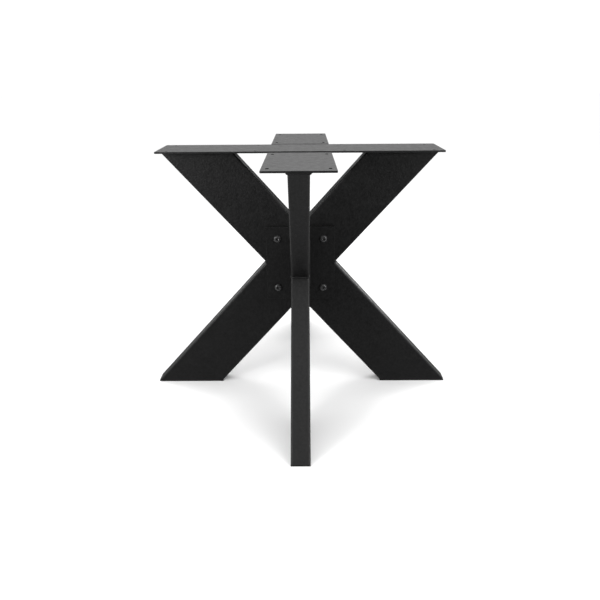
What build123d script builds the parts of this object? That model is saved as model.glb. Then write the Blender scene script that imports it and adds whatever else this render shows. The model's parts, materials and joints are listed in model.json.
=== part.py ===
from build123d import *
from math import cos, radians, sin, tan
import os

# Table base of rectangular steel tube: a full X frame stands across the table, and a half X
# is bolted through its crossing on the front and on the rear. All sizes are in millimetres.
# The origin lies on the floor under the crossing. X runs along the full frame, Y from the
# front half frame to the rear one, and Z points up.

# Overall heights
BASE_HEIGHT = 720.0
CROSSING_HEIGHT = 391.0

# Tube that every arm is cut from, with its deep side in the plane of its frame
TUBE_DEPTH = 150.0
TUBE_WIDTH = 50.0
TUBE_WALL = 3.0
TUBE_CORNER = 5.0

# Slopes of the arms, measured from the floor in degrees
MAIN_SLOPE = 48.0
HALF_SLOPE = 51.0

# Top plates that carry the table top. The short ones stand clear of the long one and lie a
# little lower, so that the table top always bears on the long one.
PLATE_WIDTH = 171.0
PLATE_THICKNESS = 5.0
PLATE_GAP = 20.0
PLATE_STEP = 1.0
PLATE_CORNER = 2.0
PLATE_EDGE = 0.8

# Screw holes in the top plates: round in the long one, slots in the short ones, which let a
# wooden top shrink and swell
SCREW_HOLE = 8.0
SCREW_SLOT = 16.0
HOLE_SIDE_INSET = 15.0
MAIN_HOLE_INSET = 30.0
MAIN_HOLE_COLUMNS = 4
HALF_HOLE_INSET = 35.0

# Plates that close the feet
FOOT_THICKNESS = 4.0
FOOT_EDGE = 1.0

# Flanges that clamp the half frames to the crossing
FLANGE_WIDTH = 200.0
FLANGE_HEIGHT = 220.0
FLANGE_THICKNESS = 10.0
FLANGE_CORNER = 2.0
FLANGE_EDGE = 1.0
ARM_SEAT = 71.0

# Weld fillets: the leg seen on the plate, and how deep the weld runs into the arm's wall
WELD_LEG = 5.0
WELD_ROOT = 1.0

# Small fasteners repeat, so their round outlines are drawn with this many flats
FASTENER_SIDE_COUNT = 24

# Flange bolts, M12 with a domed socket head
BOLT_REACH = 100.0
BOLT_SHANK = 12.0
BOLT_LENGTH = 90.0
BOLT_HEAD = 21.0
BOLT_HEAD_HEIGHT = 6.6
BOLT_RIM = 1.2
BOLT_SOCKET = 8.0
BOLT_SOCKET_DEPTH = 4.0
BOLT_CLEARANCE = 0.5

# Nuts, washers, and the spacer sleeves that keep the bolts from crushing the tubes
NUT_FLATS = 18.0
NUT_HEIGHT = 10.8
THREAD_CLEARANCE = 0.1
WASHER_DIAMETER = 24.0
WASHER_THICKNESS = 2.5
SLEEVE_WALL = 3.5

# Places worked out from the sizes above
main_underside = BASE_HEIGHT - PLATE_THICKNESS
half_underside = main_underside - PLATE_STEP
tube_face = TUBE_WIDTH / 2
flange_face = tube_face + FLANGE_THICKNESS
bolt_hole = BOLT_SHANK + 2 * BOLT_CLEARANCE
dome_height = BOLT_HEAD_HEIGHT - BOLT_RIM

# A sloping tube cut level is longer than its depth, and moves inwards as it comes down
main_cut = TUBE_DEPTH / sin(radians(MAIN_SLOPE))
half_cut = TUBE_DEPTH / sin(radians(HALF_SLOPE))
main_drift = -1 / tan(radians(MAIN_SLOPE))
half_drift = -1 / tan(radians(HALF_SLOPE))


def main_centre(height):
    """Distance of a full frame's arm from the crossing's axis, at a height."""
    return abs(height - CROSSING_HEIGHT) / tan(radians(MAIN_SLOPE))


def half_centre(height):
    """Distance of a half frame's arm from the full frame's middle plane, at a height."""
    at_crossing = flange_face + half_cut / 2 - ARM_SEAT / tan(radians(HALF_SLOPE))
    return at_crossing + abs(height - CROSSING_HEIGHT) / tan(radians(HALF_SLOPE))


# The top plates end flush with the arms that they are welded to
main_plate_end = main_centre(main_underside) + main_cut / 2
half_plate_start = PLATE_WIDTH / 2 + PLATE_GAP
half_plate_end = half_centre(half_underside) + half_cut / 2

# Longer than any arm, so that every arm starts too long and is then cut to its ends
arm_stock = BASE_HEIGHT + main_plate_end

# Planes that the arms are cut at
main_top_cut = Plane.XY.offset(main_underside)
half_top_cut = Plane.XY.offset(half_underside)
foot_plane = Plane.XY.offset(FOOT_THICKNESS)
crossing_plane = Plane.XY.offset(CROSSING_HEIGHT)
flange_plane = Plane.XZ.offset(flange_face)

# The bolts stand on the centre lines of the full frame's arms
bolt_x = BOLT_REACH * cos(radians(MAIN_SLOPE))
bolt_z = BOLT_REACH * sin(radians(MAIN_SLOPE))
bolt_spots = [
    (-bolt_x, CROSSING_HEIGHT + bolt_z),
    (bolt_x, CROSSING_HEIGHT + bolt_z),
    (-bolt_x, CROSSING_HEIGHT - bolt_z),
    (bolt_x, CROSSING_HEIGHT - bolt_z),
]


def finish(piece, name):
    """Labels a finished piece and writes it to its file."""
    os.makedirs("parts", exist_ok=True)
    piece.part.label = name
    export_step(piece.part, "parts/" + name + ".step")


def finish_pair(piece, name):
    """Writes a piece of the front half frame, and its turned copy for the rear one."""
    finish(piece, "front_" + name)
    with BuildPart() as rear_piece:
        add(piece.part, rotation=(0, 0, 180))
    finish(rear_piece, "rear_" + name)


def add_stock(across):
    """Adds an overlong solid bar of the tube's outline, square to a plane."""
    with BuildSketch(across) as outline:
        RectangleRounded(TUBE_DEPTH, TUBE_WIDTH, TUBE_CORNER)
    extrude(outline.sketch, amount=arm_stock, both=True)


def cut_bore(across):
    """Hollows the bar out along its whole length."""
    with BuildSketch(across) as bore:
        Rectangle(TUBE_DEPTH - 2 * TUBE_WALL, TUBE_WIDTH - 2 * TUBE_WALL)
        fillet(bore.vertices(), TUBE_CORNER - TUBE_WALL)
    extrude(bore.sketch, amount=arm_stock, both=True, mode=Mode.SUBTRACT)


def add_weld(seat, length, drift):
    """Adds the weld fillet round an arm's end.

    seat lies on the plate with its normal towards the arm, length is the arm's cut along the
    seat's x, and drift is how far the arm moves along x for each millimetre off the seat.
    """
    rise = WELD_LEG + WELD_ROOT
    with BuildSketch(seat) as toe:
        RectangleRounded(length + 2 * WELD_LEG, TUBE_WIDTH + 2 * WELD_LEG, TUBE_CORNER + WELD_LEG)
    with BuildSketch(seat.offset(rise)) as root:
        with Locations((drift * rise, 0)):
            RectangleRounded(length - 2 * WELD_ROOT, TUBE_WIDTH - 2 * WELD_ROOT, TUBE_CORNER)
    loft([toe.sketch, root.sketch])


def cut_bolt_holes():
    """Drills the four bolt holes straight through, parallel to Y."""
    with BuildSketch(Plane.XZ) as holes:
        with Locations(*bolt_spots):
            Circle(bolt_hole / 2)
    extrude(holes.sketch, amount=arm_stock, both=True, mode=Mode.SUBTRACT)


def add_top_plate(seat, centre, length_x, length_y, pitch_x, pitch_y, columns, rows, slotted):
    """Adds a top plate with its grid of screw holes or slots, its corners and edges broken."""
    with BuildSketch(seat) as outline:
        with Locations(centre):
            Rectangle(length_x, length_y)
        chamfer(outline.vertices(), PLATE_CORNER)
        with Locations(centre):
            with GridLocations(pitch_x, pitch_y, columns, rows):
                if slotted:
                    SlotOverall(SCREW_SLOT, SCREW_HOLE, rotation=90, mode=Mode.SUBTRACT)
                else:
                    Circle(SCREW_HOLE / 2, mode=Mode.SUBTRACT)
    plate = extrude(outline.sketch, amount=PLATE_THICKNESS)
    top_and_bottom = plate.faces().filter_by(Axis.Z)
    chamfer([edge for face in top_and_bottom for edge in face.outer_wire().edges()], PLATE_EDGE)


def add_foot_plate(centre, length_x, length_y):
    """Adds the plate that closes a foot, with its lower edges broken."""
    with BuildSketch(Plane.XY) as outline:
        with Locations(centre):
            Rectangle(length_x, length_y)
    plate = extrude(outline.sketch, amount=FOOT_THICKNESS)
    chamfer(plate.faces().sort_by(Axis.Z)[0].edges(), FOOT_EDGE)


def round_outline(seat, diameter, bore=0.0):
    """Sketch of a small round outline, with a bore if one is given."""
    with BuildSketch(seat) as outline:
        RegularPolygon(diameter / 2, FASTENER_SIDE_COUNT)
        if bore:
            RegularPolygon(bore / 2, FASTENER_SIDE_COUNT, mode=Mode.SUBTRACT)
    return outline.sketch


# Full frame: one tube runs through the crossing, from the left foot to the top's right end
through_across = Plane(
    origin=(0, 0, CROSSING_HEIGHT),
    x_dir=(sin(radians(MAIN_SLOPE)), 0, -cos(radians(MAIN_SLOPE))),
    z_dir=(cos(radians(MAIN_SLOPE)), 0, sin(radians(MAIN_SLOPE))),
)
through_seat = Plane(
    origin=(main_centre(main_underside), 0, main_underside),
    x_dir=(1, 0, 0),
    z_dir=(0, 0, -1),
)

with BuildPart() as main_through_tube:
    add_stock(through_across)
    add_weld(through_seat, main_cut, main_drift)
    cut_bore(through_across)
    split(bisect_by=main_top_cut, keep=Keep.BOTTOM)
    split(bisect_by=foot_plane, keep=Keep.TOP)
    split(bisect_by=Plane.YZ.offset(main_plate_end), keep=Keep.BOTTOM)
    cut_bolt_holes()
finish(main_through_tube, "main_through_tube")

# The other diagonal is two tubes, cut to butt against the sides of the through tube
cross_across = Plane(
    origin=(0, 0, CROSSING_HEIGHT),
    x_dir=(sin(radians(MAIN_SLOPE)), 0, cos(radians(MAIN_SLOPE))),
    z_dir=(-cos(radians(MAIN_SLOPE)), 0, sin(radians(MAIN_SLOPE))),
)
cross_seat = Plane(
    origin=(-main_centre(main_underside), 0, main_underside),
    x_dir=(-1, 0, 0),
    z_dir=(0, 0, -1),
)
to_side = through_across.x_dir * (TUBE_DEPTH / 2)
upper_side = Plane(through_across.origin - to_side, z_dir=-through_across.x_dir)
lower_side = Plane(through_across.origin + to_side, z_dir=through_across.x_dir)

with BuildPart() as main_upper_cross_tube:
    add_stock(cross_across)
    add_weld(cross_seat, main_cut, main_drift)
    cut_bore(cross_across)
    split(bisect_by=main_top_cut, keep=Keep.BOTTOM)
    split(bisect_by=upper_side, keep=Keep.TOP)
    split(bisect_by=Plane.YZ.offset(-main_plate_end), keep=Keep.TOP)
    cut_bolt_holes()
finish(main_upper_cross_tube, "main_upper_cross_tube")

with BuildPart() as main_lower_cross_tube:
    add_stock(cross_across)
    cut_bore(cross_across)
    split(bisect_by=foot_plane, keep=Keep.TOP)
    split(bisect_by=lower_side, keep=Keep.TOP)
    cut_bolt_holes()
finish(main_lower_cross_tube, "main_lower_cross_tube")

# Long top plate, with its screw holes in evenly spaced columns
with BuildPart() as main_top_plate:
    add_top_plate(
        seat=main_top_cut,
        centre=(0, 0),
        length_x=2 * main_plate_end,
        length_y=PLATE_WIDTH,
        pitch_x=2 * (main_plate_end - MAIN_HOLE_INSET) / (MAIN_HOLE_COLUMNS - 1),
        pitch_y=PLATE_WIDTH - 2 * HOLE_SIDE_INSET,
        columns=MAIN_HOLE_COLUMNS,
        rows=2,
        slotted=False,
    )
finish(main_top_plate, "main_top_plate")

for side, name in ((-1, "main_foot_plate_left"), (1, "main_foot_plate_right")):
    with BuildPart() as main_foot_plate:
        add_foot_plate((side * main_centre(FOOT_THICKNESS), 0), main_cut, TUBE_WIDTH)
    finish(main_foot_plate, name)

# Half frame: two arms meet in a level mitre and stand against the flange
flange_seat = Plane(
    origin=(0, -flange_face, CROSSING_HEIGHT),
    x_dir=(0, 0, 1),
    z_dir=(0, -1, 0),
)
half_seat = Plane(
    origin=(0, -half_centre(half_underside), half_underside),
    x_dir=(0, -1, 0),
    z_dir=(0, 0, -1),
)
upper_across = Plane(
    origin=(0, -half_centre(CROSSING_HEIGHT), CROSSING_HEIGHT),
    x_dir=(0, sin(radians(HALF_SLOPE)), cos(radians(HALF_SLOPE))),
    z_dir=(0, -cos(radians(HALF_SLOPE)), sin(radians(HALF_SLOPE))),
)
lower_across = Plane(
    origin=(0, -half_centre(CROSSING_HEIGHT), CROSSING_HEIGHT),
    x_dir=(0, sin(radians(HALF_SLOPE)), -cos(radians(HALF_SLOPE))),
    z_dir=(0, -cos(radians(HALF_SLOPE)), -sin(radians(HALF_SLOPE))),
)

with BuildPart() as upper_arm:
    add_stock(upper_across)
    add_weld(half_seat, half_cut, half_drift)
    add_weld(flange_seat, 2 * ARM_SEAT, 0)
    cut_bore(upper_across)
    split(bisect_by=flange_plane, keep=Keep.TOP)
    split(bisect_by=crossing_plane, keep=Keep.TOP)
    split(bisect_by=half_top_cut, keep=Keep.BOTTOM)
    split(bisect_by=Plane.XZ.offset(half_plate_end), keep=Keep.BOTTOM)
finish_pair(upper_arm, "upper_arm")

with BuildPart() as lower_arm:
    add_stock(lower_across)
    add_weld(flange_seat, 2 * ARM_SEAT, 0)
    cut_bore(lower_across)
    split(bisect_by=flange_plane, keep=Keep.TOP)
    split(bisect_by=crossing_plane, keep=Keep.BOTTOM)
    split(bisect_by=foot_plane, keep=Keep.TOP)
finish_pair(lower_arm, "lower_arm")

with BuildPart() as half_top_plate:
    half_plate_length = half_plate_end - half_plate_start
    add_top_plate(
        seat=half_top_cut,
        centre=(0, -(half_plate_start + half_plate_end) / 2),
        length_x=PLATE_WIDTH,
        length_y=half_plate_length,
        pitch_x=PLATE_WIDTH - 2 * HOLE_SIDE_INSET,
        pitch_y=half_plate_length - 2 * HALF_HOLE_INSET,
        columns=2,
        rows=2,
        slotted=True,
    )
finish_pair(half_top_plate, "top_plate")

with BuildPart() as half_foot_plate:
    add_foot_plate((0, -half_centre(FOOT_THICKNESS)), TUBE_WIDTH, half_cut)
finish_pair(half_foot_plate, "foot_plate")

# Flange: lies flat on the crossing and carries the half frame's two arms
with BuildPart() as flange:
    with BuildSketch(Plane.XZ.offset(tube_face)) as flange_outline:
        with Locations((0, CROSSING_HEIGHT)):
            Rectangle(FLANGE_WIDTH, FLANGE_HEIGHT)
        chamfer(flange_outline.vertices(), FLANGE_CORNER)
        with Locations(*bolt_spots):
            Circle(bolt_hole / 2, mode=Mode.SUBTRACT)
    extrude(amount=FLANGE_THICKNESS)
    chamfer(flange.faces().sort_by(Axis.Y)[0].outer_wire().edges(), FLANGE_EDGE)
finish_pair(flange, "flange")

# Bolts: each runs through the front flange, the full frame and the rear flange to its nut.
# A head's dome comes from breaking the crown's edge, and then both edges that this leaves.
for number, (x, z) in enumerate(bolt_spots, start=1):
    head_seat = Plane(origin=(x, -flange_face, z), x_dir=(1, 0, 0), z_dir=(0, -1, 0))
    washer_seat = Plane(origin=(x, flange_face, z), x_dir=(1, 0, 0), z_dir=(0, 1, 0))
    nut_seat = washer_seat.offset(WASHER_THICKNESS)
    sleeve_seat = Plane(origin=(x, 0, z), x_dir=(1, 0, 0), z_dir=(0, -1, 0))

    with BuildPart() as flange_bolt:
        extrude(round_outline(head_seat, BOLT_HEAD), amount=BOLT_HEAD_HEIGHT)
        chamfer(flange_bolt.edges().group_by(Axis.Y)[0], dome_height * 2 / 3)
        rings = flange_bolt.edges().group_by(Axis.Y)
        chamfer(rings[0] + rings[2], dome_height / 3)
        with BuildSketch(head_seat.offset(BOLT_HEAD_HEIGHT)):
            RegularPolygon(BOLT_SOCKET / 2, 6, major_radius=False)
        extrude(amount=-BOLT_SOCKET_DEPTH, mode=Mode.SUBTRACT)
        extrude(round_outline(head_seat, BOLT_SHANK), amount=-BOLT_LENGTH)
    finish(flange_bolt, f"flange_bolt_{number}")

    with BuildPart() as flange_washer:
        extrude(round_outline(washer_seat, WASHER_DIAMETER, bolt_hole), amount=WASHER_THICKNESS)
    finish(flange_washer, f"flange_washer_{number}")

    with BuildPart() as flange_nut:
        with BuildSketch(nut_seat):
            RegularPolygon(NUT_FLATS / 2, 6, major_radius=False)
            RegularPolygon(BOLT_SHANK / 2 + THREAD_CLEARANCE, FASTENER_SIDE_COUNT, mode=Mode.SUBTRACT)
        extrude(amount=NUT_HEIGHT)
    finish(flange_nut, f"flange_nut_{number}")

    with BuildPart() as spacer_sleeve:
        extrude(
            round_outline(sleeve_seat, bolt_hole + 2 * SLEEVE_WALL, bolt_hole),
            amount=tube_face - TUBE_WALL,
            both=True,
        )
    finish(spacer_sleeve, f"spacer_sleeve_{number}")
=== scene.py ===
import json
from math import asin, atan, atan2, ceil, cos, pi, radians, sin, tan

import bmesh
import bpy
from mathutils import Matrix, Vector


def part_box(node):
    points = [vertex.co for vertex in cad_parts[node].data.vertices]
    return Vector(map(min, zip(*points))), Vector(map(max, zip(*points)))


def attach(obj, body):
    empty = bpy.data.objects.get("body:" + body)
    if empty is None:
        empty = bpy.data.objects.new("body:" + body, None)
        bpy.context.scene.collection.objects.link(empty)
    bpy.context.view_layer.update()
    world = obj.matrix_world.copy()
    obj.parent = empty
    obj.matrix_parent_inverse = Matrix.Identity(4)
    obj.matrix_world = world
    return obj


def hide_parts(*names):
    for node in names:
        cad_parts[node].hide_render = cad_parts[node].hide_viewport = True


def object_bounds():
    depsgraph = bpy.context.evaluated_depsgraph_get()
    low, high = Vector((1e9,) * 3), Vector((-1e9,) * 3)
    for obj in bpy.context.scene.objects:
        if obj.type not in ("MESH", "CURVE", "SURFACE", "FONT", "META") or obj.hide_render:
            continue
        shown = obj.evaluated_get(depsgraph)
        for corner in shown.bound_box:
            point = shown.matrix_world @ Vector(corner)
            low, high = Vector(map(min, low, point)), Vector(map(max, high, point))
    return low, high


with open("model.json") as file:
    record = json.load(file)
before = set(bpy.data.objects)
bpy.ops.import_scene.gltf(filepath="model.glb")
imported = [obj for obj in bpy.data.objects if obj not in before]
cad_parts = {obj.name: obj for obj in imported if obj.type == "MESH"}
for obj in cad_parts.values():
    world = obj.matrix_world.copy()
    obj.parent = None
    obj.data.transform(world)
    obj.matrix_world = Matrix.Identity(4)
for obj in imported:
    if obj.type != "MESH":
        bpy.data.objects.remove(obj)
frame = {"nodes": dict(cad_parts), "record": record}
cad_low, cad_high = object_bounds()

# Dresses the steel table base: tubes, plates, welds and fasteners in a textured black coat,
# on a pale studio floor. Lengths are in metres. X runs along the full frame, Y from the front
# half frame to the rear one, and Z points up from the floor.

bl_info = {
    "name": "Crossed table base",
    "version": (1, 0, 0),
    "blender": (4, 5, 0),
    "location": "View3D > Sidebar > Table base",
    "description": "Tubes, plates, welds and fasteners of a crossed steel table base",
    "category": "Add Mesh",
}

BODY = "root"
COAT_SLOT = "powder_coated_steel"
BOLT_SLOT = "black_bolts"
FINISH_OF = {COAT_SLOT: "powder_coat", BOLT_SLOT: "black_oxide"}
HALF_FRAMES = ("front", "rear")
MILLIMETRE = 0.001

# Points nearer than this count as one
NEAR = 1e-6
# Faces that meet at more than this show an edge between them
SHARP_ANGLE = radians(38)
# Edges that turn by more than this are rounded off
CORNER_ANGLE = radians(45)

# Faces round a tube's corners, outside and in its bore
TUBE_STEPS, BORE_STEPS = 8, 4
# Faces round a plate's corners, over its edges, over the rims of its holes and round a hole
CORNER_STEPS, EDGE_STEPS, RIM_STEPS, HOLE_STEPS = 5, 3, 2, 36
# The most of a plate's thickness that one rounded edge takes
EDGE_SHARE = 0.4

# Faces across a weld's back, and its stations in one ripple
BACK_STEPS, RIPPLE_STEPS = 7, 4
# How far a weld's root lies inside its corner, and behind each of its two faces
ROOT_DEPTH, ROOT_REACH = 0.0012, 0.0006
# Part of a ripple's height that sinks into the weld's even back
RIPPLE_SINK = 0.6
# Share by which a weld's width wanders, and its two rates in radians per ripple
WANDER, FAST_WANDER, SLOW_WANDER = 0.05, 2.1, 0.37
# Stations over which a weld's free end swells, and the first one's place among them
END_STATIONS, END_START = 8, 0.25
# Width of the flatter weld on the level mitre, as a share of the others
MITRE_SHARE = 0.6

# Faces round a bolt, a nut's bore and a washer
BOLT_STEPS, NUT_STEPS, WASHER_STEPS = 48, 72, 64
# Depth of the thread, as a share of its pitch
THREAD_DEPTH = 0.6
# Bolt's tapered tip, fillet under its head, and eased edges of its head and socket
BOLT_TIP, HEAD_FILLET, HEAD_EDGE, SOCKET_EDGE = 0.0012, 0.0005, 0.0003, 0.0003
# Width of a head's flat crown as a share of the head, and room between it and the socket
CROWN_SHARE, CROWN_ROOM = 0.5, 0.0001
# Bands of faces up a bolt's dome, and up each chamfer of a nut
DOME_BANDS, CHAMFER_BANDS = 9, 5
# Turn of each bolt's socket past the one before
SOCKET_TURN = radians(17)
# Room between nut and bolt, and the lead-in at each end of the nut's bore
NUT_ROOM, NUT_LEAD = 0.0001, 0.0007
# Width of a nut's round face as a share of its flats, and slope of its chamfer
NUT_FACE, NUT_SLOPE = 0.96, radians(30)
WASHER_EDGE = 0.0003

# Soft boxes: name, place, side of the square and power in watts
LIGHTS = (
    ("left_key_light", (-1.9, -1.7, 2.6), 1.6, 5),
    ("right_key_light", (1.9, -1.7, 2.6), 1.6, 20),
    ("left_low_light", (-1.5, -1.8, 1.0), 0.5, 17),
    ("right_low_light", (1.5, -1.8, 1.0), 0.5, 7),
    ("left_side_light", (-2.2, -0.9, 0.9), 0.8, 8),
    ("right_side_light", (2.2, -0.9, 0.9), 0.8, 8),
    ("left_rear_light", (-1.4, 2.0, 0.45), 0.5, 1),
    ("right_rear_light", (1.4, 2.0, 0.45), 0.5, 3),
    ("overhead_light", (0, 1.3, 3.2), 0.8, 20),
)
# Tones that the gloss mirrors from in front of the base and from behind it. Each stands after
# its height in the surround: 0 is straight below, 0.5 level and 1 straight above.
FRONT_TONES = (
    (0.0, 0.28), (0.235, 0.28), (0.265, 0.03), (0.48, 0.03), (0.5, 0.0), (0.84, 0.0),
    (0.87, 0.58), (0.93, 0.66), (0.96, 0.25), (1.0, 0.25),
)
REAR_TONES = (
    (0.0, 0.26), (0.1, 0.26), (0.16, 0.55), (0.26, 0.55), (0.32, 0.03), (0.46, 0.03),
    (0.48, 0.5), (0.61, 0.5), (0.64, 0.78), (0.85, 0.78), (0.87, 0.2), (1.0, 0.2),
)
# How far in front of the middle and behind it the front tones pass into the rear ones
TONE_BLEND = 0.15
# Strength of those tones, and of the plain white that everything else sees
TONE_STRENGTH, WHITE_STRENGTH = 1.5, 1.15
FLOOR_RADIUS = 30

# The camera, from a fit to the base's corners: millimetres, metres and radians
SENSOR_WIDTH, LENS = 36, 37.52
EYE = (0.0124, -1.7992, 0.9216)
YAW, PITCH, ROLL = -0.0084, 0.3507, 0.0074
FAR_CLIP = 100


def span(node):
    """Size of a node's box."""
    low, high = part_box(node)
    return high - low


def middle(node):
    """Centre of a node's box."""
    low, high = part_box(node)
    return (low + high) / 2


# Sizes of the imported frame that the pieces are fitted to
foot_thickness = span("main_foot_plate_right").z
tube_width = span("main_foot_plate_right").y
main_cut = span("main_foot_plate_right").x
half_cut = span("front_foot_plate").y
main_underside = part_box("main_top_plate")[0].z
half_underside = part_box("front_top_plate")[0].z
crossing = middle("front_flange").z
flange_face = -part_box("front_flange")[0].y
flange_back = -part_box("front_flange")[1].y
main_plate_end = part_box("main_top_plate")[1].x
half_plate_end = -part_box("front_top_plate")[0].y
main_slope = atan((crossing - foot_thickness) / middle("main_foot_plate_right").x)
tube_depth = main_cut * sin(main_slope)
half_slope = asin(tube_depth / half_cut)


def main_centre(height):
    """Distance of a full frame's arm from the crossing's axis, at a height."""
    return abs(height - crossing) / tan(main_slope)


def half_centre(height):
    """Distance of a half frame's arm from the full frame's middle plane, at a height."""
    at_foot = -middle("front_foot_plate").y
    rise = abs(height - crossing) - (crossing - foot_thickness)
    return at_foot + rise / tan(half_slope)


# Half the height of the half frame's seat on its flange
arm_seat = (flange_face + half_cut / 2 - half_centre(crossing)) * tan(half_slope)
bolt_spots = [middle(f"flange_bolt_{number}") for number in range(1, 5)]


class BaseSizes(bpy.types.PropertyGroup):
    """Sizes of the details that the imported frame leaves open."""

    tube_corner: bpy.props.FloatProperty(
        name="Tube corner", description="Outer corner radius of the tube",
        default=0.005, min=0.001, unit="LENGTH", precision=4)
    tube_wall: bpy.props.FloatProperty(
        name="Tube wall", description="Wall thickness of the tube",
        default=0.003, min=0.001, unit="LENGTH", precision=4)
    plate_corner: bpy.props.FloatProperty(
        name="Plate corner", description="Corner radius of plates and flanges",
        default=0.003, min=0.0005, unit="LENGTH", precision=4)
    plate_edge: bpy.props.FloatProperty(
        name="Plate edge", description="Radius of the rounded plate edges",
        default=0.001, min=0.0001, unit="LENGTH", precision=4)
    hole_edge: bpy.props.FloatProperty(
        name="Hole edge", description="Radius of the rounded rims of holes",
        default=0.0004, min=0.0001, unit="LENGTH", precision=4)
    weld_leg: bpy.props.FloatProperty(
        name="Weld leg", description="Width of a weld fillet on each of its two faces",
        default=0.005, min=0.001, unit="LENGTH", precision=4)
    slot_length: bpy.props.FloatProperty(
        name="Slot length", description="Length of the screw slots in the short plates",
        default=0.016, min=0.008, unit="LENGTH", precision=4)
    slot_inset: bpy.props.FloatProperty(
        name="Slot inset", description="Distance from a short plate's ends to the slots' centres",
        default=0.035, min=0.01, unit="LENGTH", precision=4)
    weld_crown: bpy.props.FloatProperty(
        name="Weld crown", description="Height of a weld's back over a flat fillet",
        default=0.0009, min=0.0, unit="LENGTH", precision=4)
    ripple_pitch: bpy.props.FloatProperty(
        name="Ripple pitch", description="Distance from one ripple of a weld to the next",
        default=0.0028, min=0.0005, unit="LENGTH", precision=4)
    ripple_depth: bpy.props.FloatProperty(
        name="Ripple depth", description="Height of a weld's ripples",
        default=0.00035, min=0.0, unit="LENGTH", precision=5)


class FastenerSizes(bpy.types.PropertyGroup):
    """Sizes of the bolts, nuts and washers."""

    head_height: bpy.props.FloatProperty(
        name="Head height", description="Height of the domed head",
        default=0.0066, min=0.001, unit="LENGTH", precision=4)
    head_rim: bpy.props.FloatProperty(
        name="Head rim", description="Height of the head's straight rim",
        default=0.0012, min=0.0002, unit="LENGTH", precision=4)
    shank: bpy.props.FloatProperty(
        name="Shank", description="Diameter of the bolt's shank",
        default=0.012, min=0.002, unit="LENGTH", precision=4)
    socket: bpy.props.FloatProperty(
        name="Socket", description="Width across the flats of the hexagon socket",
        default=0.008, min=0.001, unit="LENGTH", precision=4)
    socket_depth: bpy.props.FloatProperty(
        name="Socket depth", description="Depth of the hexagon socket",
        default=0.004, min=0.001, unit="LENGTH", precision=4)
    thread_pitch: bpy.props.FloatProperty(
        name="Thread pitch", description="Distance from one thread to the next",
        default=0.00175, min=0.0003, unit="LENGTH", precision=5)
    thread_turns: bpy.props.IntProperty(
        name="Thread turns", description="Number of turns that are cut into the shank's end",
        default=14, min=2)
    hole: bpy.props.FloatProperty(
        name="Bolt hole", description="Diameter of the hole that a bolt passes through",
        default=0.013, min=0.002, unit="LENGTH", precision=4)


class FinishColours(bpy.types.PropertyGroup):
    """Colours of the coats, the bare steel and the floor."""

    coat: bpy.props.FloatVectorProperty(
        name="Powder coat", description="Colour of the textured coat",
        subtype="COLOR", size=3, default=(0.0015, 0.0015, 0.0016), min=0.0, max=1.0)
    coat_light: bpy.props.FloatVectorProperty(
        name="Coat's light tone", description="Colour of the coat's paler clouds and specks",
        subtype="COLOR", size=3, default=(0.0052, 0.0052, 0.0054), min=0.0, max=1.0)
    bolts: bpy.props.FloatVectorProperty(
        name="Black oxide", description="Colour of the bolts, nuts and washers",
        subtype="COLOR", size=3, default=(0.055, 0.055, 0.056), min=0.0, max=1.0)
    steel: bpy.props.FloatVectorProperty(
        name="Bare steel", description="Colour of the sleeves inside the tubes",
        subtype="COLOR", size=3, default=(0.42, 0.42, 0.43), min=0.0, max=1.0)
    floor: bpy.props.FloatVectorProperty(
        name="Floor", description="Colour of the studio floor",
        subtype="COLOR", size=3, default=(0.9, 0.9, 0.9), min=0.0, max=1.0)


# Materials


def new_material(name):
    """A material with nodes, and its shader."""
    material = bpy.data.materials.new(name)
    material.use_nodes = True
    return material, material.node_tree.nodes["Principled BSDF"]


def add_noise(tree, scale, detail):
    """A noise on the piece's own coordinates, from 0 to 1."""
    place = tree.nodes.new("ShaderNodeTexCoord")
    noise = tree.nodes.new("ShaderNodeTexNoise")
    noise.inputs["Scale"].default_value = scale
    noise.inputs["Detail"].default_value = detail
    tree.links.new(place.outputs["Object"], noise.inputs["Vector"])
    return noise.outputs["Fac"]


def add_range(tree, value, low, high, to_low, to_high):
    """Spreads the part of a value from low to high over another range."""
    spread = tree.nodes.new("ShaderNodeMapRange")
    for name, number in (
        ("From Min", low), ("From Max", high), ("To Min", to_low), ("To Max", to_high),
    ):
        spread.inputs[name].default_value = number
    tree.links.new(value, spread.inputs["Value"])
    return spread.outputs["Result"]


def add_mix(tree, factor, first, second):
    """Mixes two colours by a factor."""
    mix = tree.nodes.new("ShaderNodeMix")
    mix.data_type = "RGBA"
    mix.inputs["A"].default_value = (*first, 1)
    mix.inputs["B"].default_value = (*second, 1)
    tree.links.new(factor, mix.inputs["Factor"])
    return mix.outputs["Result"]


def add_bump(tree, height, distance, strength, below=None):
    """Turns a height into relief, on top of the relief below it."""
    bump = tree.nodes.new("ShaderNodeBump")
    bump.inputs["Distance"].default_value = distance
    bump.inputs["Strength"].default_value = strength
    tree.links.new(height, bump.inputs["Height"])
    if below:
        tree.links.new(below, bump.inputs["Normal"])
    return bump.outputs["Normal"]


def powder_coat(colours):
    """Black powder coat: fine grains over a soft orange peel, with faint clouds of tone."""
    material, shader = new_material("powder_coat")
    tree = material.node_tree
    clouds = add_range(
        tree, add_noise(tree, scale=150, detail=6), low=0.35, high=0.65, to_low=0, to_high=1)
    tree.links.new(add_mix(tree, clouds, colours.coat, colours.coat_light),
                   shader.inputs["Base Color"])
    patches = add_range(
        tree, add_noise(tree, scale=60, detail=4), low=0.3, high=0.7, to_low=0.42, to_high=0.52)
    tree.links.new(patches, shader.inputs["Roughness"])
    shader.inputs["Specular IOR Level"].default_value = 0.5
    peel = add_bump(tree, add_noise(tree, scale=170, detail=5), distance=0.0008, strength=0.8)
    grains = add_bump(
        tree, add_noise(tree, scale=1500, detail=3), distance=0.0001, strength=0.5, below=peel)
    tree.links.new(grains, shader.inputs["Normal"])


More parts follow.
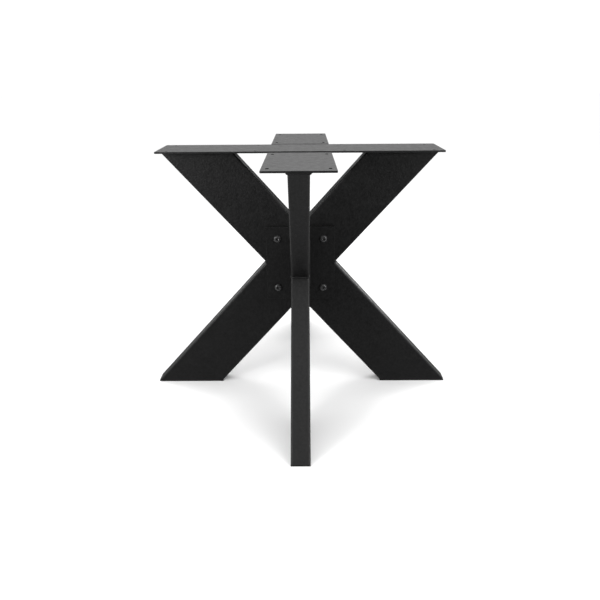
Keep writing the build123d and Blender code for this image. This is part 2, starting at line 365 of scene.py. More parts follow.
def black_oxide(colours):
    """Satin black oxide on the fasteners, a little glossier than the coat."""
    material, shader = new_material("black_oxide")
    tree = material.node_tree
    patches = add_noise(tree, scale=500, detail=3)
    lighter = [min(1, 1.8 * share) for share in colours.bolts]
    tree.links.new(add_mix(tree, patches, colours.bolts, lighter), shader.inputs["Base Color"])
    gloss = add_range(tree, patches, low=0.3, high=0.7, to_low=0.2, to_high=0.32)
    tree.links.new(gloss, shader.inputs["Roughness"])
    shader.inputs["Metallic"].default_value = 0.6
    relief = add_bump(
        tree, add_noise(tree, scale=2500, detail=2), distance=0.00005, strength=0.4)
    tree.links.new(relief, shader.inputs["Normal"])


def drawn_steel(colours):
    """Bare drawn steel of the hidden sleeves."""
    material, shader = new_material("drawn_steel")
    tree = material.node_tree
    mottle = add_noise(tree, scale=300, detail=4)
    darker = [0.7 * share for share in colours.steel]
    tree.links.new(add_mix(tree, mottle, colours.steel, darker), shader.inputs["Base Color"])
    gloss = add_range(tree, mottle, low=0.3, high=0.7, to_low=0.3, to_high=0.45)
    tree.links.new(gloss, shader.inputs["Roughness"])
    shader.inputs["Metallic"].default_value = 1.0


# Shared steps


def add_piece(name, bm, slot, *nodes):
    """Turns a finished mesh into a piece that stands for its nodes."""
    bmesh.ops.recalc_face_normals(bm, faces=bm.faces[:])
    mesh = bpy.data.meshes.new(name)
    bm.to_mesh(mesh)
    bm.free()
    mesh.shade_smooth()
    mesh.set_sharp_from_angle(angle=SHARP_ANGLE)
    mesh.materials.append(bpy.data.materials[FINISH_OF[slot]])
    piece = bpy.data.objects.new(name, mesh)
    bpy.context.scene.collection.objects.link(piece)
    shading = piece.modifiers.new("Flat faces stay flat", "WEIGHTED_NORMAL")
    shading.keep_sharp = True
    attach(piece, BODY)
    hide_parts(*nodes)


def add_half_piece(place, name, bm, *nodes):
    """Adds a coated piece that is made for the front half frame, turned round for the rear."""
    if place == "rear":
        move(bm, Matrix.Rotation(pi, 4, "Z"))
    add_piece(f"{place}_{name}", bm, COAT_SLOT, *nodes)


def move(bm, matrix):
    """Moves a whole mesh by a matrix."""
    bmesh.ops.transform(bm, matrix=matrix, verts=bm.verts[:])


def frame_of(origin, x_axis, z_axis):
    """Matrix that lays a mesh's own x and z along two directions from an origin."""
    z_axis = Vector(z_axis).normalized()
    x_axis = Vector(x_axis).normalized()
    turned = Matrix((x_axis, z_axis.cross(x_axis), z_axis)).transposed()
    return Matrix.Translation(origin) @ turned.to_4x4()


def on_node(node):
    """Matrix that lays a level plate from the origin on its node's place."""
    centre = middle(node)
    return Matrix.Translation((centre.x, centre.y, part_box(node)[0].z))


def only(kind, geometry):
    """The points or the edges in what a mesh operator gives back."""
    return [item for item in geometry if isinstance(item, kind)]


def is_level(edge):
    """Whether an edge runs at one height."""
    return abs(edge.verts[0].co.z - edge.verts[1].co.z) < NEAR


def round_off(bm, geometry, radius, steps, affect="EDGES"):
    """Rounds edges or corners off with a few faces."""
    bmesh.ops.bevel(
        bm, geom=geometry, offset=radius, segments=steps, profile=0.5, affect=affect,
        material=-1)


def cut(bm, point, outward):
    """Cuts a mesh off at a plane and closes the section."""
    everything = bm.verts[:] + bm.edges[:] + bm.faces[:]
    section = bmesh.ops.bisect_plane(
        bm, geom=everything, dist=NEAR / 10, plane_co=point, plane_no=outward,
        clear_outer=True)
    edges = only(bmesh.types.BMEdge, section["geom_cut"])
    bmesh.ops.triangle_fill(bm, use_beauty=True, edges=edges, normal=outward)


def add_bar(bm, depth, width, corner, steps, length):
    """Adds an open bar of rounded rectangular outline along Z."""
    cube = bmesh.ops.create_cube(bm, size=1)["verts"]
    bmesh.ops.scale(bm, vec=(depth, width, length), verts=cube)
    faces = {face for vert in cube for face in vert.link_faces}
    ends = [face for face in faces if abs(face.normal.z) > 0.5]
    bmesh.ops.delete(bm, geom=ends, context="FACES_ONLY")
    edges = {edge for vert in cube for edge in vert.link_edges}
    round_off(bm, [edge for edge in edges if not is_level(edge)], corner, steps)


def tube_mesh(sizes, centre, along, across, cuts):
    """A hollow tube through a centre, cut off at planes given by point and outward side."""
    uncut = 3 * cad_high.z
    wall = sizes.tube_wall
    bm = bmesh.new()
    add_bar(bm, tube_depth, tube_width, sizes.tube_corner, TUBE_STEPS, uncut)
    add_bar(bm, tube_depth - 2 * wall, tube_width - 2 * wall, sizes.tube_corner - wall,
            BORE_STEPS, uncut)
    move(bm, frame_of(centre, across, along))
    for point, outward in cuts:
        cut(bm, point, outward)
    return bm


def plate_mesh(
        size_x, size_y, thickness, corner, edge, holes=(), diameter=0.0, slot=0.0, rim=0.0):
    """A level plate on the origin with round holes, or slots along y, and everything eased."""
    bm = bmesh.new()
    bmesh.ops.create_grid(bm, x_segments=1, y_segments=1, size=0.5)
    bmesh.ops.scale(bm, vec=(size_x, size_y, 1), verts=bm.verts[:])
    round_off(bm, bm.verts[:], corner, CORNER_STEPS, affect="VERTICES")
    bmesh.ops.delete(bm, geom=bm.faces[:], context="FACES_ONLY")
    stretch = max(0, slot - diameter) / 2
    # Half a step of turn leaves no point on the line where a slot is pulled apart
    half_step = Matrix.Rotation(pi / HOLE_STEPS, 4, "Z")
    for x, y in holes:
        place = Matrix.Translation((x, y, 0)) @ half_step
        ring = bmesh.ops.create_circle(
            bm, segments=HOLE_STEPS, radius=diameter / 2, matrix=place)
        for vert in ring["verts"]:
            vert.co.y += stretch if vert.co.y > y else -stretch
    bmesh.ops.triangle_fill(bm, use_beauty=True, edges=bm.edges[:], normal=(0, 0, 1))
    raised = bmesh.ops.extrude_face_region(bm, geom=bm.faces[:])["geom"]
    bmesh.ops.translate(
        bm, vec=(0, 0, thickness), verts=only(bmesh.types.BMVert, raised))
    bmesh.ops.recalc_face_normals(bm, faces=bm.faces[:])

    def in_hole(item):
        point = (item.verts[0].co + item.verts[1].co) / 2
        return any((point.xy - Vector(hole)).length < diameter + stretch for hole in holes)

    level = [item for item in bm.edges
             if is_level(item) and item.calc_face_angle(0) > CORNER_ANGLE]
    rims = [item for item in level if in_hole(item)]
    outline = [item for item in level if not in_hole(item)]
    round_off(bm, outline, min(edge, EDGE_SHARE * thickness), EDGE_STEPS)
    rims = [item for item in rims if item.is_valid]
    if rims:
        round_off(bm, rims, rim, RIM_STEPS)
    return bm


# Round pieces, grown ring by ring


def open_edges(bm, low, high):
    """Open edges that lie between two heights."""
    return [
        edge for edge in bm.edges
        if edge.is_boundary and all(low - NEAR < vert.co.z < high + NEAR for vert in edge.verts)
    ]


def grow(bm, edges, radius, height, hexagon=False, limit=None):
    """Extrudes a ring and lays the new one at a radius and height, round or hexagonal.

    A hexagon's radius is that of its flats, and no point goes farther out than the limit.
    """
    grown = bmesh.ops.extrude_edge_only(bm, edges=edges)["geom"]
    ring = only(bmesh.types.BMVert, grown)
    for vert in ring:
        angle = atan2(vert.co.y, vert.co.x)
        reach = radius
        if hexagon:
            from_flat = (angle + pi / 6) % (pi / 3) - pi / 6
            reach = radius / cos(from_flat)
        if limit:
            reach = min(reach, limit)
        vert.co = (reach * cos(angle), reach * sin(angle), height)
    bmesh.ops.remove_doubles(bm, verts=ring, dist=NEAR)
    return open_edges(bm, height, height)


# Welds


def seam_path(length, width, round_x, round_y, step):
    """Points and outward directions round a rectangle with elliptical corners."""
    stations = []
    half_x, half_y = length / 2 - round_x, width / 2 - round_y
    corner_count = max(4, ceil(pi / 2 * max(round_x, round_y) / step))
    for quarter, (side_x, side_y) in enumerate(((1, 1), (-1, 1), (-1, -1), (1, -1))):
        for count in range(corner_count + 1):
            angle = (quarter + count / corner_count) * pi / 2
            point = Vector((side_x * half_x + round_x * cos(angle),
                            side_y * half_y + round_y * sin(angle)))
            outward = Vector((cos(angle) / round_x, sin(angle) / round_y)).normalized()
            stations.append((point, outward))
        run = 2 * (half_x if quarter % 2 == 0 else half_y)
        run_count = max(1, ceil(run / step))
        along = Vector((-sin((quarter + 1) * pi / 2), cos((quarter + 1) * pi / 2)))
        for count in range(1, run_count):
            stations.append((point + along * run * count / run_count, outward))
    return stations


def bead_points(sizes, station, travelled, taper):
    """A bead's section at a station: its root, then its back from one face to the other."""
    centre, first_face, second_face, outward = station
    phase = travelled / sizes.ripple_pitch
    ripple = sizes.ripple_depth * (abs(sin(pi * phase)) - RIPPLE_SINK)
    wander = WANDER * sin(FAST_WANDER * phase) * sin(SLOW_WANDER * phase + 1)
    leg = sizes.weld_leg * (1 + wander) * taper
    points = [centre - ROOT_DEPTH * outward - ROOT_REACH * (first_face + second_face)]
    for step in range(BACK_STEPS + 1):
        share = step / BACK_STEPS
        hump = 4 * share * (1 - share)
        side = (1 - share) * first_face + share * second_face
        back = (sizes.weld_crown * taper + ripple) * hump
        points.append(centre + side * leg + outward * back)
    return points


def weld_mesh(stations, sizes, closed, round_ends=False):
    """A rippled bead along stations of centre, two face directions and an outward one."""
    bm = bmesh.new()
    travelled = 0.0
    for index, station in enumerate(stations):
        if index:
            travelled += (station[0] - stations[index - 1][0]).length
        taper = 1.0
        if round_ends:
            from_end = END_START + min(index, len(stations) - 1 - index)
            taper = sin(pi / 2 * min(1, from_end / END_STATIONS)) ** 0.5
        points = bead_points(sizes, station, travelled, taper)
        if index == 0:
            section = [bm.verts.new(point) for point in points]
            first = [bm.edges.new((vert, section[k - 1])) for k, vert in enumerate(section)]
            ring = first
            continue
        grown = bmesh.ops.extrude_edge_only(bm, edges=ring)["geom"]
        follower = {}
        for vert in only(bmesh.types.BMVert, grown):
            for edge in vert.link_edges:
                follower[edge.other_vert(vert)] = vert
        section = [follower[vert] for vert in section]
        for vert, point in zip(section, points):
            vert.co = point
        ring = [edge for edge in only(bmesh.types.BMEdge, grown)
                if all(vert in section for vert in edge.verts)]
    if closed:
        bmesh.ops.bridge_loops(bm, edges=first + ring)
    else:
        bmesh.ops.holes_fill(bm, edges=first, sides=0)
        bmesh.ops.holes_fill(bm, edges=ring, sides=0)
    return bm


def arm_weld(sizes, seat, normal, along, length, axis, lean):
    """Closed bead round the end of an arm that stands on a plate or a flange.

    seat is the arm's centre there, normal points from the plate to the arm, along is the
    direction of the arm's cut, axis the arm's own direction, and lean its angle to the plate.
    """
    normal, along, axis = Vector(normal), Vector(along), Vector(axis)
    across = normal.cross(along)
    stations = []
    for point, outward in seam_path(
            length, tube_width, sizes.tube_corner / sin(lean), sizes.tube_corner,
            sizes.ripple_pitch / RIPPLE_STEPS):
        on_plate = along * outward.x + across * outward.y
        run = normal.cross(on_plate)
        up_arm = (axis - axis.dot(run) * run).normalized()
        centre = Vector(seat) + along * point.x + across * point.y
        stations.append((centre, on_plate, up_arm, (on_plate + up_arm).normalized()))
    return weld_mesh(stations, sizes, closed=True)


def straight_weld(sizes, start, end, first_face, second_face):
    """Bead along a straight inner corner between two faces."""
    start, end = Vector(start), Vector(end)
    first_face, second_face = Vector(first_face).normalized(), Vector(second_face).normalized()
    outward = (first_face + second_face).normalized()
    count = max(END_STATIONS, ceil((end - start).length / (sizes.ripple_pitch / RIPPLE_STEPS)))
    stations = [
        (start.lerp(end, index / count), first_face, second_face, outward)
        for index in range(count + 1)
    ]
    return weld_mesh(stations, sizes, closed=False, round_ends=True)


# Operators


class TABLEBASE_OT_finishes(bpy.types.Operator):
    """Make the powder coat, the black oxide and the bare steel"""

    bl_idname = "tablebase.finishes"
    bl_label = "Finishes"

    def execute(self, context):
        colours = context.scene.table_base_colours
        powder_coat(colours)
        black_oxide(colours)
        drawn_steel(colours)
        return {"FINISHED"}


class TABLEBASE_OT_full_frame(bpy.types.Operator):
    """Make the three tubes of the full frame"""

    bl_idname = "tablebase.full_frame"
    bl_label = "Full frame tubes"

    def execute(self, context):
        sizes = context.scene.table_base_sizes
        centre = Vector((0, 0, crossing))
        through = Vector((cos(main_slope), 0, sin(main_slope)))
        through_side = Vector((sin(main_slope), 0, -cos(main_slope)))
        cross = Vector((-cos(main_slope), 0, sin(main_slope)))
        cross_side = Vector((sin(main_slope), 0, cos(main_slope)))
        top = ((0, 0, main_underside), (0, 0, 1))
        foot = ((0, 0, foot_thickness), (0, 0, -1))
        butt = through_side * tube_depth / 2
        rows = (
            ("through_tube", "main_through_tube", through, through_side, (top, foot)),
            ("upper_cross_tube", "main_upper_cross_tube", cross, cross_side,
             (top, (centre - butt, through_side))),
            ("lower_cross_tube", "main_lower_cross_tube", cross, cross_side,
             (foot, (centre + butt, -through_side))),
        )
        for name, node, along, across, cuts in rows:
            bm = tube_mesh(sizes, centre, along, across, cuts)
            add_piece(name, bm, COAT_SLOT, node)
        return {"FINISHED"}


class TABLEBASE_OT_half_frames(bpy.types.Operator):
    """Make the upper and lower arms of both half frames"""

    bl_idname = "tablebase.half_frames"
    bl_label = "Half frame arms"

    def execute(self, context):
        sizes = context.scene.table_base_sizes
        centre = Vector((0, -half_centre(crossing), crossing))
        against_flange = ((0, -flange_face, 0), (0, 1, 0))
        rows = (
            ("upper", 1, ((0, 0, half_underside), (0, 0, 1)), (centre, (0, 0, -1))),
            ("lower", -1, ((0, 0, foot_thickness), (0, 0, -1)), (centre, (0, 0, 1))),
        )
        for name, way, end, mitre in rows:
            along = Vector((0, -cos(half_slope), way * sin(half_slope)))
            across = Vector((0, sin(half_slope), way * cos(half_slope)))
            for place in HALF_FRAMES:
                bm = tube_mesh(sizes, centre, along, across, (end, against_flange, mitre))
                add_half_piece(place, f"{name}_tube", bm, f"{place}_{name}_arm")
        return {"FINISHED"}


class TABLEBASE_OT_top_plates(bpy.types.Operator):
    """Make the three screw plates under the table top"""

    bl_idname = "tablebase.top_plates"
    bl_label = "Top plates"

    def execute(self, context):
        sizes = context.scene.table_base_sizes
        patterns = [mount for mount in frame["record"]["mounts"]
                    if mount["kind"] == "bolt_pattern"]
        diameter = 2 * MILLIMETRE * patterns[0]["dims"]["hole_r_mm"]
        reach_y = MILLIMETRE * patterns[0]["dims"]["spacing_y_mm"] / 2
        main_holes = []
        for pattern in patterns:
            reach_x = MILLIMETRE * pattern["dims"]["spacing_x_mm"] / 2
            main_holes += [(x, y) for x in (-reach_x, reach_x) for y in (-reach_y, reach_y)]
        slot_reach = span("front_top_plate").y / 2 - sizes.slot_inset
        slots = [(x, y) for x in (-reach_y, reach_y) for y in (-slot_reach, slot_reach)]
        rows = (
            ("main", main_holes, 0), ("front", slots, sizes.slot_length),
            ("rear", slots, sizes.slot_length),
        )
        for place, holes, slot in rows:
            node = f"{place}_top_plate"
            size = span(node)
            bm = plate_mesh(size.x, size.y, size.z, sizes.plate_corner, sizes.plate_edge,
                            holes, diameter, slot, sizes.hole_edge)
            move(bm, on_node(node))
            add_piece(f"{place}_screw_plate", bm, COAT_SLOT, node)
        return {"FINISHED"}


class TABLEBASE_OT_foot_plates(bpy.types.Operator):
    """Make the four plates that close the feet"""

    bl_idname = "tablebase.foot_plates"
    bl_label = "Foot plates"

    def execute(self, context):
        sizes = context.scene.table_base_sizes
        rows = (
            ("left_foot", "main_foot_plate_left"), ("right_foot", "main_foot_plate_right"),
            ("front_foot", "front_foot_plate"), ("rear_foot", "rear_foot_plate"),
        )
        for name, node in rows:
            size = span(node)
            bm = plate_mesh(size.x, size.y, size.z, sizes.plate_edge, sizes.plate_edge)
            move(bm, on_node(node))
            add_piece(name, bm, COAT_SLOT, node)
        return {"FINISHED"}


class TABLEBASE_OT_flanges(bpy.types.Operator):
    """Make the two bolted flanges"""

    bl_idname = "tablebase.flanges"
    bl_label = "Flanges"

    def execute(self, context):
        sizes = context.scene.table_base_sizes
        hole = context.scene.table_base_fasteners.hole
        size = span("front_flange")
        holes = [(spot.x, spot.z - crossing) for spot in bolt_spots]
        for place in HALF_FRAMES:
            bm = plate_mesh(size.x, size.z, size.y, sizes.plate_corner, sizes.plate_edge,
                            holes, hole, 0, sizes.hole_edge)
            move(bm, frame_of((0, -flange_back, crossing), (1, 0, 0), (0, -1, 0)))
            add_half_piece(place, "flange_plate", bm, f"{place}_flange")
        return {"FINISHED"}


class TABLEBASE_OT_welds(bpy.types.Operator):
    """Lay the weld beads of the full frame and of both half frames"""

    bl_idname = "tablebase.welds"
    bl_label = "Welds"

    def execute(self, context):
        sizes = context.scene.table_base_sizes
        for side, name in ((-1, "left"), (1, "right")):
            axis = (-side * cos(main_slope), 0, -sin(main_slope))
            seat = (side * main_centre(main_underside), 0, main_underside)
            bm = arm_weld(sizes, seat, (0, 0, -1), (side, 0, 0), main_cut, axis, main_slope)
            cut(bm, (side * main_plate_end, 0, 0), (side, 0, 0))
            add_piece(f"{name}_plate_weld", bm, COAT_SLOT)
        for place in HALF_FRAMES:
            axis = (0, cos(half_slope), -sin(half_slope))
            seat = (0, -half_centre(half_underside), half_underside)
            bm = arm_weld(sizes, seat, (0, 0, -1), (0, -1, 0), half_cut, axis, half_slope)
            cut(bm, (0, -half_plate_end, 0), (0, -1, 0))
            add_half_piece(place, "plate_weld", bm)
            bm = arm_weld(sizes, (0, -flange_face, crossing), (0, -1, 0), (0, 0, 1),
                          2 * arm_seat, (0, -1, 0), pi / 2)
            add_half_piece(place, "flange_weld", bm)
            add_half_piece(place, "mitre_weld", self.mitre_weld(sizes))
        self.notch_welds(sizes)
        return {"FINISHED"}

    def mitre_weld(self, sizes):
        """Bead along the level mitre, from the flange round the front and back again."""
        up = Vector((0, -cos(half_slope), sin(half_slope)))
        down = Vector((0, -cos(half_slope), -sin(half_slope)))
        stations = []
        for point, outward in seam_path(
                half_cut, tube_width, sizes.tube_corner / sin(half_slope), sizes.tube_corner,
                sizes.ripple_pitch / RIPPLE_STEPS):
            centre = Vector((-point.y, -half_centre(crossing) - point.x, crossing))
            if centre.y > -flange_face:
                continue
            away = Vector((-outward.y, -outward.x, 0))
            run = away.cross(Vector((0, 0, 1)))
            faces = [MITRE_SHARE * (way - way.dot(run) * run).normalized()
                     for way in (down, up)]
            stations.append((centre, *faces, away))
        # The bead starts after the gap that the flange leaves in its path
        start = next(index for index in range(len(stations))
                     if (stations[index][0] - stations[index - 1][0]).length > tube_width / 2)
        stations = stations[start:] + stations[:start]
        return weld_mesh(stations, sizes, closed=False)

    def notch_welds(self, sizes):
        """Beads in the four inner corners of the crossing, short of the tubes' rounded edges."""
        reach_x = tube_depth / 2 / sin(main_slope)
        reach_z = tube_depth / 2 / cos(main_slope)
        half_y = tube_width / 2 - sizes.tube_corner / 2
        rows = (
            ("left_notch_weld", (-reach_x, 0), ((-1, 1), (-1, -1))),
            ("right_notch_weld", (reach_x, 0), ((1, 1), (1, -1))),
            ("upper_notch_weld", (0, reach_z), ((-1, 1), (1, 1))),
            ("lower_notch_weld", (0, -reach_z), ((-1, -1), (1, -1))),
        )
        for name, (x, z), faces in rows:
            ways = [(way_x * cos(main_slope), 0, way_z * sin(main_slope))
                    for way_x, way_z in faces]
            bm = straight_weld(sizes, (x, -half_y, crossing + z), (x, half_y, crossing + z), *ways)
            add_piece(name, bm, COAT_SLOT)


class TABLEBASE_OT_bolts(bpy.types.Operator):
    """Make the four domed socket bolts with their cut threads"""

    bl_idname = "tablebase.bolts"
    bl_label = "Bolts"

    def execute(self, context):
        sizes = context.scene.table_base_fasteners
        head_radius = span("flange_bolt_1").x / 2
        length = span("flange_bolt_1").y - sizes.head_height
        for number, spot in enumerate(bolt_spots, start=1):
            bm = self.bolt_mesh(sizes, head_radius, length)
            turn = Matrix.Rotation(SOCKET_TURN * number, 4, "Z")
            move(bm, frame_of((spot.x, -flange_face, spot.z), (1, 0, 0), (0, -1, 0)) @ turn)
            add_piece(f"socket_bolt_{number}", bm, BOLT_SLOT, f"flange_bolt_{number}")
        return {"FINISHED"}

    def bolt_mesh(self, sizes, head_radius, length):
        """One bolt, head up, with its seat at the origin: thread, shank, dome and socket."""
        bm = bmesh.new()
        radius = sizes.shank / 2
        pitch = sizes.thread_pitch
        start = -length + BOLT_TIP
        profile = []
        for half_turn in range(2 * sizes.thread_turns + 1):
            reach = radius if half_turn % 2 else radius - THREAD_DEPTH * pitch
            profile.append(bm.verts.new((reach, 0, start + pitch * half_turn / 2)))
        edges = [bm.edges.new(pair) for pair in zip(profile, profile[1:])]
        bmesh.ops.spin(
            bm, geom=profile + edges, cent=(0, 0, 0), axis=(0, 0, 1),
            dvec=(0, 0, pitch / BOLT_STEPS), angle=2 * pi, steps=BOLT_STEPS, use_merge=False)
        bmesh.ops.remove_doubles(bm, verts=bm.verts[:], dist=NEAR)
        top = start + pitch * sizes.thread_turns
        tip_ring = grow(bm, open_edges(bm, start, start + 1.5 * pitch), radius - pitch, -length)
        bmesh.ops.holes_fill(bm, edges=tip_ring, sides=0)
        ring = grow(bm, open_edges(bm, top - pitch, top + 1.5 * pitch), radius, top + 2 * pitch)
        ring = grow(bm, ring, radius, -HEAD_FILLET)
        ring = grow(bm, ring, radius + HEAD_FILLET, 0)
        ring = grow(bm, ring, head_radius - HEAD_EDGE, 0)
        ring = grow(bm, ring, head_radius, HEAD_EDGE)
        dome = sizes.head_height - sizes.head_rim
        crown = CROWN_SHARE * head_radius
        for band in range(DOME_BANDS + 1):
            rise = pi / 2 * band / DOME_BANDS
            reach = crown + (head_radius - crown) * cos(rise)
            ring = grow(bm, ring, reach, sizes.head_rim + dome * sin(rise))
        flats = sizes.socket / 2
        ring = grow(bm, ring, flats + SOCKET_EDGE, sizes.head_height, hexagon=True,
                    limit=crown - CROWN_ROOM)
        ring = grow(bm, ring, flats, sizes.head_height - SOCKET_EDGE, hexagon=True)
        bottom = sizes.head_height - sizes.socket_depth
        ring = grow(bm, ring, flats, bottom, hexagon=True)
        ring = grow(bm, ring, flats / 2, bottom - flats / 4)
        bmesh.ops.holes_fill(bm, edges=ring, sides=0)
        return bm


class TABLEBASE_OT_nuts(bpy.types.Operator):
    """Make the four chamfered hexagon nuts"""

    bl_idname = "tablebase.nuts"
    bl_label = "Nuts"

    def execute(self, context):
        fasteners = context.scene.table_base_fasteners
        size = span("flange_nut_1")
        for number, spot in enumerate(bolt_spots, start=1):
            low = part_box(f"flange_nut_{number}")[0]
            bm = self.nut_mesh(size.z / 2, size.y, fasteners.shank / 2 + NUT_ROOM)
            move(bm, frame_of((spot.x, low.y, spot.z), (0, 0, 1), (0, 1, 0)))
            add_piece(f"hexagon_nut_{number}", bm, BOLT_SLOT, f"flange_nut_{number}")
        return {"FINISHED"}

    def nut_mesh(self, flats, height, bore):
        """One nut on the origin, with the corners of both ends turned off."""
        bm = bmesh.new()
        bmesh.ops.create_circle(bm, segments=NUT_STEPS, radius=bore)
        bmesh.ops.translate(bm, vec=(0, 0, NUT_LEAD), verts=bm.verts[:])
        corner = flats / cos(pi / 6)
        face = NUT_FACE * flats
        drop = (corner - face) * tan(NUT_SLOPE)
        ring = grow(bm, bm.edges[:], bore + NUT_LEAD, 0)
        shares = [band / CHAMFER_BANDS for band in range(CHAMFER_BANDS + 1)]
        levels = [(share, drop * share) for share in shares]
        levels += [(share, height - drop * share) for share in reversed(shares)]
        for share, level in levels:
            limit = face + (corner - face) * share
            ring = grow(bm, ring, flats, level, hexagon=True, limit=limit)
        ring = grow(bm, ring, bore + NUT_LEAD, height)
        ring = grow(bm, ring, bore, height - NUT_LEAD)
        bmesh.ops.bridge_loops(bm, edges=open_edges(bm, NUT_LEAD, NUT_LEAD) + ring)
        return bm


class TABLEBASE_OT_washers(bpy.types.Operator):
    """Make the four plain washers"""

    bl_idname = "tablebase.washers"
    bl_label = "Washers"

    def execute(self, context):
        hole = context.scene.table_base_fasteners.hole
        size = span("flange_washer_1")
        for number, spot in enumerate(bolt_spots, start=1):
            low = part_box(f"flange_washer_{number}")[0]
            bm = bmesh.new()
            corners = ((hole / 2, 0), (size.x / 2, 0), (size.x / 2, size.y), (hole / 2, size.y))
            verts = [bm.verts.new((x, 0, z)) for x, z in corners]
            edges = [bm.edges.new((vert, verts[k - 1])) for k, vert in enumerate(verts)]
            bmesh.ops.spin(
                bm, geom=verts + edges, cent=(0, 0, 0), axis=(0, 0, 1), angle=2 * pi,
                steps=WASHER_STEPS, use_merge=True)
            bmesh.ops.recalc_face_normals(bm, faces=bm.faces[:])
            sharp = [edge for edge in bm.edges if edge.calc_face_angle(0) > CORNER_ANGLE]
            round_off(bm, sharp, WASHER_EDGE, RIM_STEPS)
            move(bm, frame_of((spot.x, low.y, spot.z), (0, 0, 1), (0, 1, 0)))
            add_piece(f"plain_washer_{number}", bm, BOLT_SLOT, f"flange_washer_{number}")
        return {"FINISHED"}


class TABLEBASE_OT_sleeves(bpy.types.Operator):
    """Give the hidden spacer sleeves their bare steel"""

    bl_idname = "tablebase.sleeves"
    bl_label = "Sleeves"

    def execute(self, context):
        for number in range(1, 5):
            for slot in frame["nodes"][f"spacer_sleeve_{number}"].material_slots:
                slot.material = bpy.data.materials["drawn_steel"]
        return {"FINISHED"}


class TABLEBASE_OT_stage(bpy.types.Operator):
    """Set up the pale floor, the soft studio light and the camera"""

    bl_idname = "tablebase.stage"
    bl_label = "Stage"

    def execute(self, context):
        self.add_floor(context)
        self.add_surround(context)
        for light in LIGHTS:
            self.add_light(context, *light)
        self.add_camera(context)
        context.scene.view_settings.view_transform = "Standard"
        return {"FINISHED"}

    def add_floor(self, context):
        """A wide pale disc that catches the contact shadows and isn't mirrored in the coat."""
        material, shader = new_material("studio_floor")
        shader.inputs["Base Color"].default_value = (*context.scene.table_base_colours.floor, 1)
        shader.inputs["Roughness"].default_value = 0.9
        shader.inputs["Specular IOR Level"].default_value = 0.1
        bm = bmesh.new()
        bmesh.ops.create_circle(bm, cap_ends=True, segments=96, radius=FLOOR_RADIUS)
        mesh = bpy.data.meshes.new("studio_floor")
        bm.to_mesh(mesh)
        bm.free()
        mesh.materials.append(material)
        floor_piece = bpy.data.objects.new("studio_floor", mesh)
        context.scene.collection.objects.link(floor_piece)
        floor_piece.visible_glossy = False

    def add_surround(self, context):
        """A plain white surround. The gloss mirrors paler and darker bands in its place."""
        world = bpy.data.worlds.new("studio_surround")
        context.scene.world = world
        world.use_nodes = True
        tree = world.node_tree
        background = tree.nodes["Background"]
        place = tree.nodes.new("ShaderNodeTexCoord")
        split = tree.nodes.new("ShaderNodeSeparateXYZ")
        tree.links.new(place.outputs["Generated"], split.inputs[0])
        height = add_range(tree, split.outputs["Z"], low=-1, high=1, to_low=0, to_high=1)
        front = self.add_ramp(tree, height, FRONT_TONES)
        rear = self.add_ramp(tree, height, REAR_TONES)
        depth = add_range(
            tree, split.outputs["Y"], low=-TONE_BLEND, high=TONE_BLEND, to_low=0, to_high=1)
        blend = tree.nodes.new("ShaderNodeMix")
        blend.data_type = "RGBA"
        for socket, source in (("Factor", depth), ("A", front), ("B", rear)):
            tree.links.new(source, blend.inputs[socket])
        tree.links.new(blend.outputs["Result"], background.inputs["Color"])
        background.inputs["Strength"].default_value = TONE_STRENGTH
        plain = tree.nodes.new("ShaderNodeBackground")
        plain.inputs["Color"].default_value = (1, 1, 1, 1)
        plain.inputs["Strength"].default_value = WHITE_STRENGTH
        path = tree.nodes.new("ShaderNodeLightPath")
        mix = tree.nodes.new("ShaderNodeMixShader")
        tree.links.new(path.outputs["Is Glossy Ray"], mix.inputs["Fac"])
        tree.links.new(plain.outputs[0], mix.inputs[1])
        tree.links.new(background.outputs[0], mix.inputs[2])
        tree.links.new(mix.outputs[0], tree.nodes["World Output"].inputs["Surface"])

    def add_ramp(self, tree, value, tones):
        """Greys that follow a value, given as places on its range and tones."""
        ramp = tree.nodes.new("ShaderNodeValToRGB")
        tree.links.new(value, ramp.inputs["Fac"])
        elements = ramp.color_ramp.elements
        while len(elements) < len(tones):
            elements.new(0.5)
        for element, (place, tone) in zip(elements, tones):
            element.position = place
            element.color = (tone, tone, tone, 1)
        return ramp.outputs["Color"]

    def add_light(self, context, name, place, size, power):
        """A square soft box that looks at the crossing."""
        light = bpy.data.lights.new(name, "AREA")
        light.size = size
        light.energy = power
        lamp = bpy.data.objects.new(name, light)
        lamp.location = place
        aim = Vector((0, 0, crossing)) - lamp.location
        lamp.rotation_euler = aim.to_track_quat("-Z", "Y").to_euler()
        context.scene.collection.objects.link(lamp)

    def add_camera(self, context):
        """The camera at the photograph's place."""
        camera = bpy.data.cameras.new("camera")
        camera.sensor_width = SENSOR_WIDTH
        camera.lens = LENS
        camera.clip_end = FAR_CLIP
        eye = bpy.data.objects.new("camera", camera)
        eye.matrix_world = (
            Matrix.Translation(EYE)
            @ Matrix.Rotation(-YAW, 4, "Z")
            @ Matrix.Rotation(pi / 2 - PITCH, 4, "X")
            @ Matrix.Rotation(-ROLL, 4, "Z")
        )
        context.scene.collection.objects.link(eye)
        context.scene.camera = eye


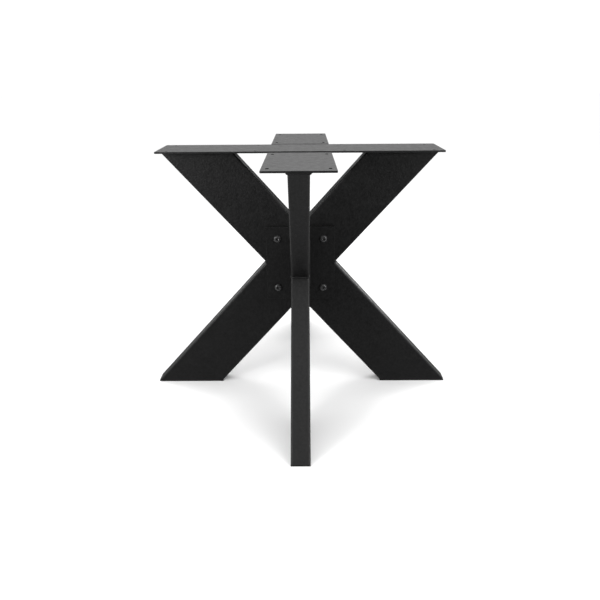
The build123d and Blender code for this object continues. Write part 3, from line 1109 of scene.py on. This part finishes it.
PIECE_STEPS = (
    TABLEBASE_OT_finishes,
    TABLEBASE_OT_full_frame,
    TABLEBASE_OT_half_frames,
    TABLEBASE_OT_top_plates,
    TABLEBASE_OT_foot_plates,
    TABLEBASE_OT_flanges,
    TABLEBASE_OT_welds,
    TABLEBASE_OT_bolts,
    TABLEBASE_OT_nuts,
    TABLEBASE_OT_washers,
    TABLEBASE_OT_sleeves,
    TABLEBASE_OT_stage,
)


class TABLEBASE_PT_panel(bpy.types.Panel):
    """Lists the sizes, the colours and the steps"""

    bl_idname = "TABLEBASE_PT_panel"
    bl_label = "Table base"
    bl_space_type = "VIEW_3D"
    bl_region_type = "UI"
    bl_category = "Table base"

    def draw(self, context):
        groups = (
            (BaseSizes, context.scene.table_base_sizes),
            (FastenerSizes, context.scene.table_base_fasteners),
            (FinishColours, context.scene.table_base_colours),
        )
        for group, values in groups:
            column = self.layout.column(align=True)
            for name in group.__annotations__:
                column.prop(values, name)
        for step in PIECE_STEPS:
            self.layout.operator(step.bl_idname)


CLASSES = (BaseSizes, FastenerSizes, FinishColours, *PIECE_STEPS, TABLEBASE_PT_panel)


def register():
    """Registers the classes and hangs the sizes and colours on the scene."""
    for item in CLASSES:
        bpy.utils.register_class(item)
    bpy.types.Scene.table_base_sizes = bpy.props.PointerProperty(type=BaseSizes)
    bpy.types.Scene.table_base_fasteners = bpy.props.PointerProperty(type=FastenerSizes)
    bpy.types.Scene.table_base_colours = bpy.props.PointerProperty(type=FinishColours)


def unregister():
    """Takes the sizes, the colours and the classes away again."""
    del bpy.types.Scene.table_base_colours
    del bpy.types.Scene.table_base_fasteners
    del bpy.types.Scene.table_base_sizes
    for item in reversed(CLASSES):
        bpy.utils.unregister_class(item)


def main():
    """Runs every step in order."""
    register()
    bpy.ops.tablebase.finishes()
    bpy.ops.tablebase.full_frame()
    bpy.ops.tablebase.half_frames()
    bpy.ops.tablebase.top_plates()
    bpy.ops.tablebase.foot_plates()
    bpy.ops.tablebase.flanges()
    bpy.ops.tablebase.welds()
    bpy.ops.tablebase.bolts()
    bpy.ops.tablebase.nuts()
    bpy.ops.tablebase.washers()
    bpy.ops.tablebase.sleeves()
    bpy.ops.tablebase.stage()


if __name__ == "__main__":
    main()
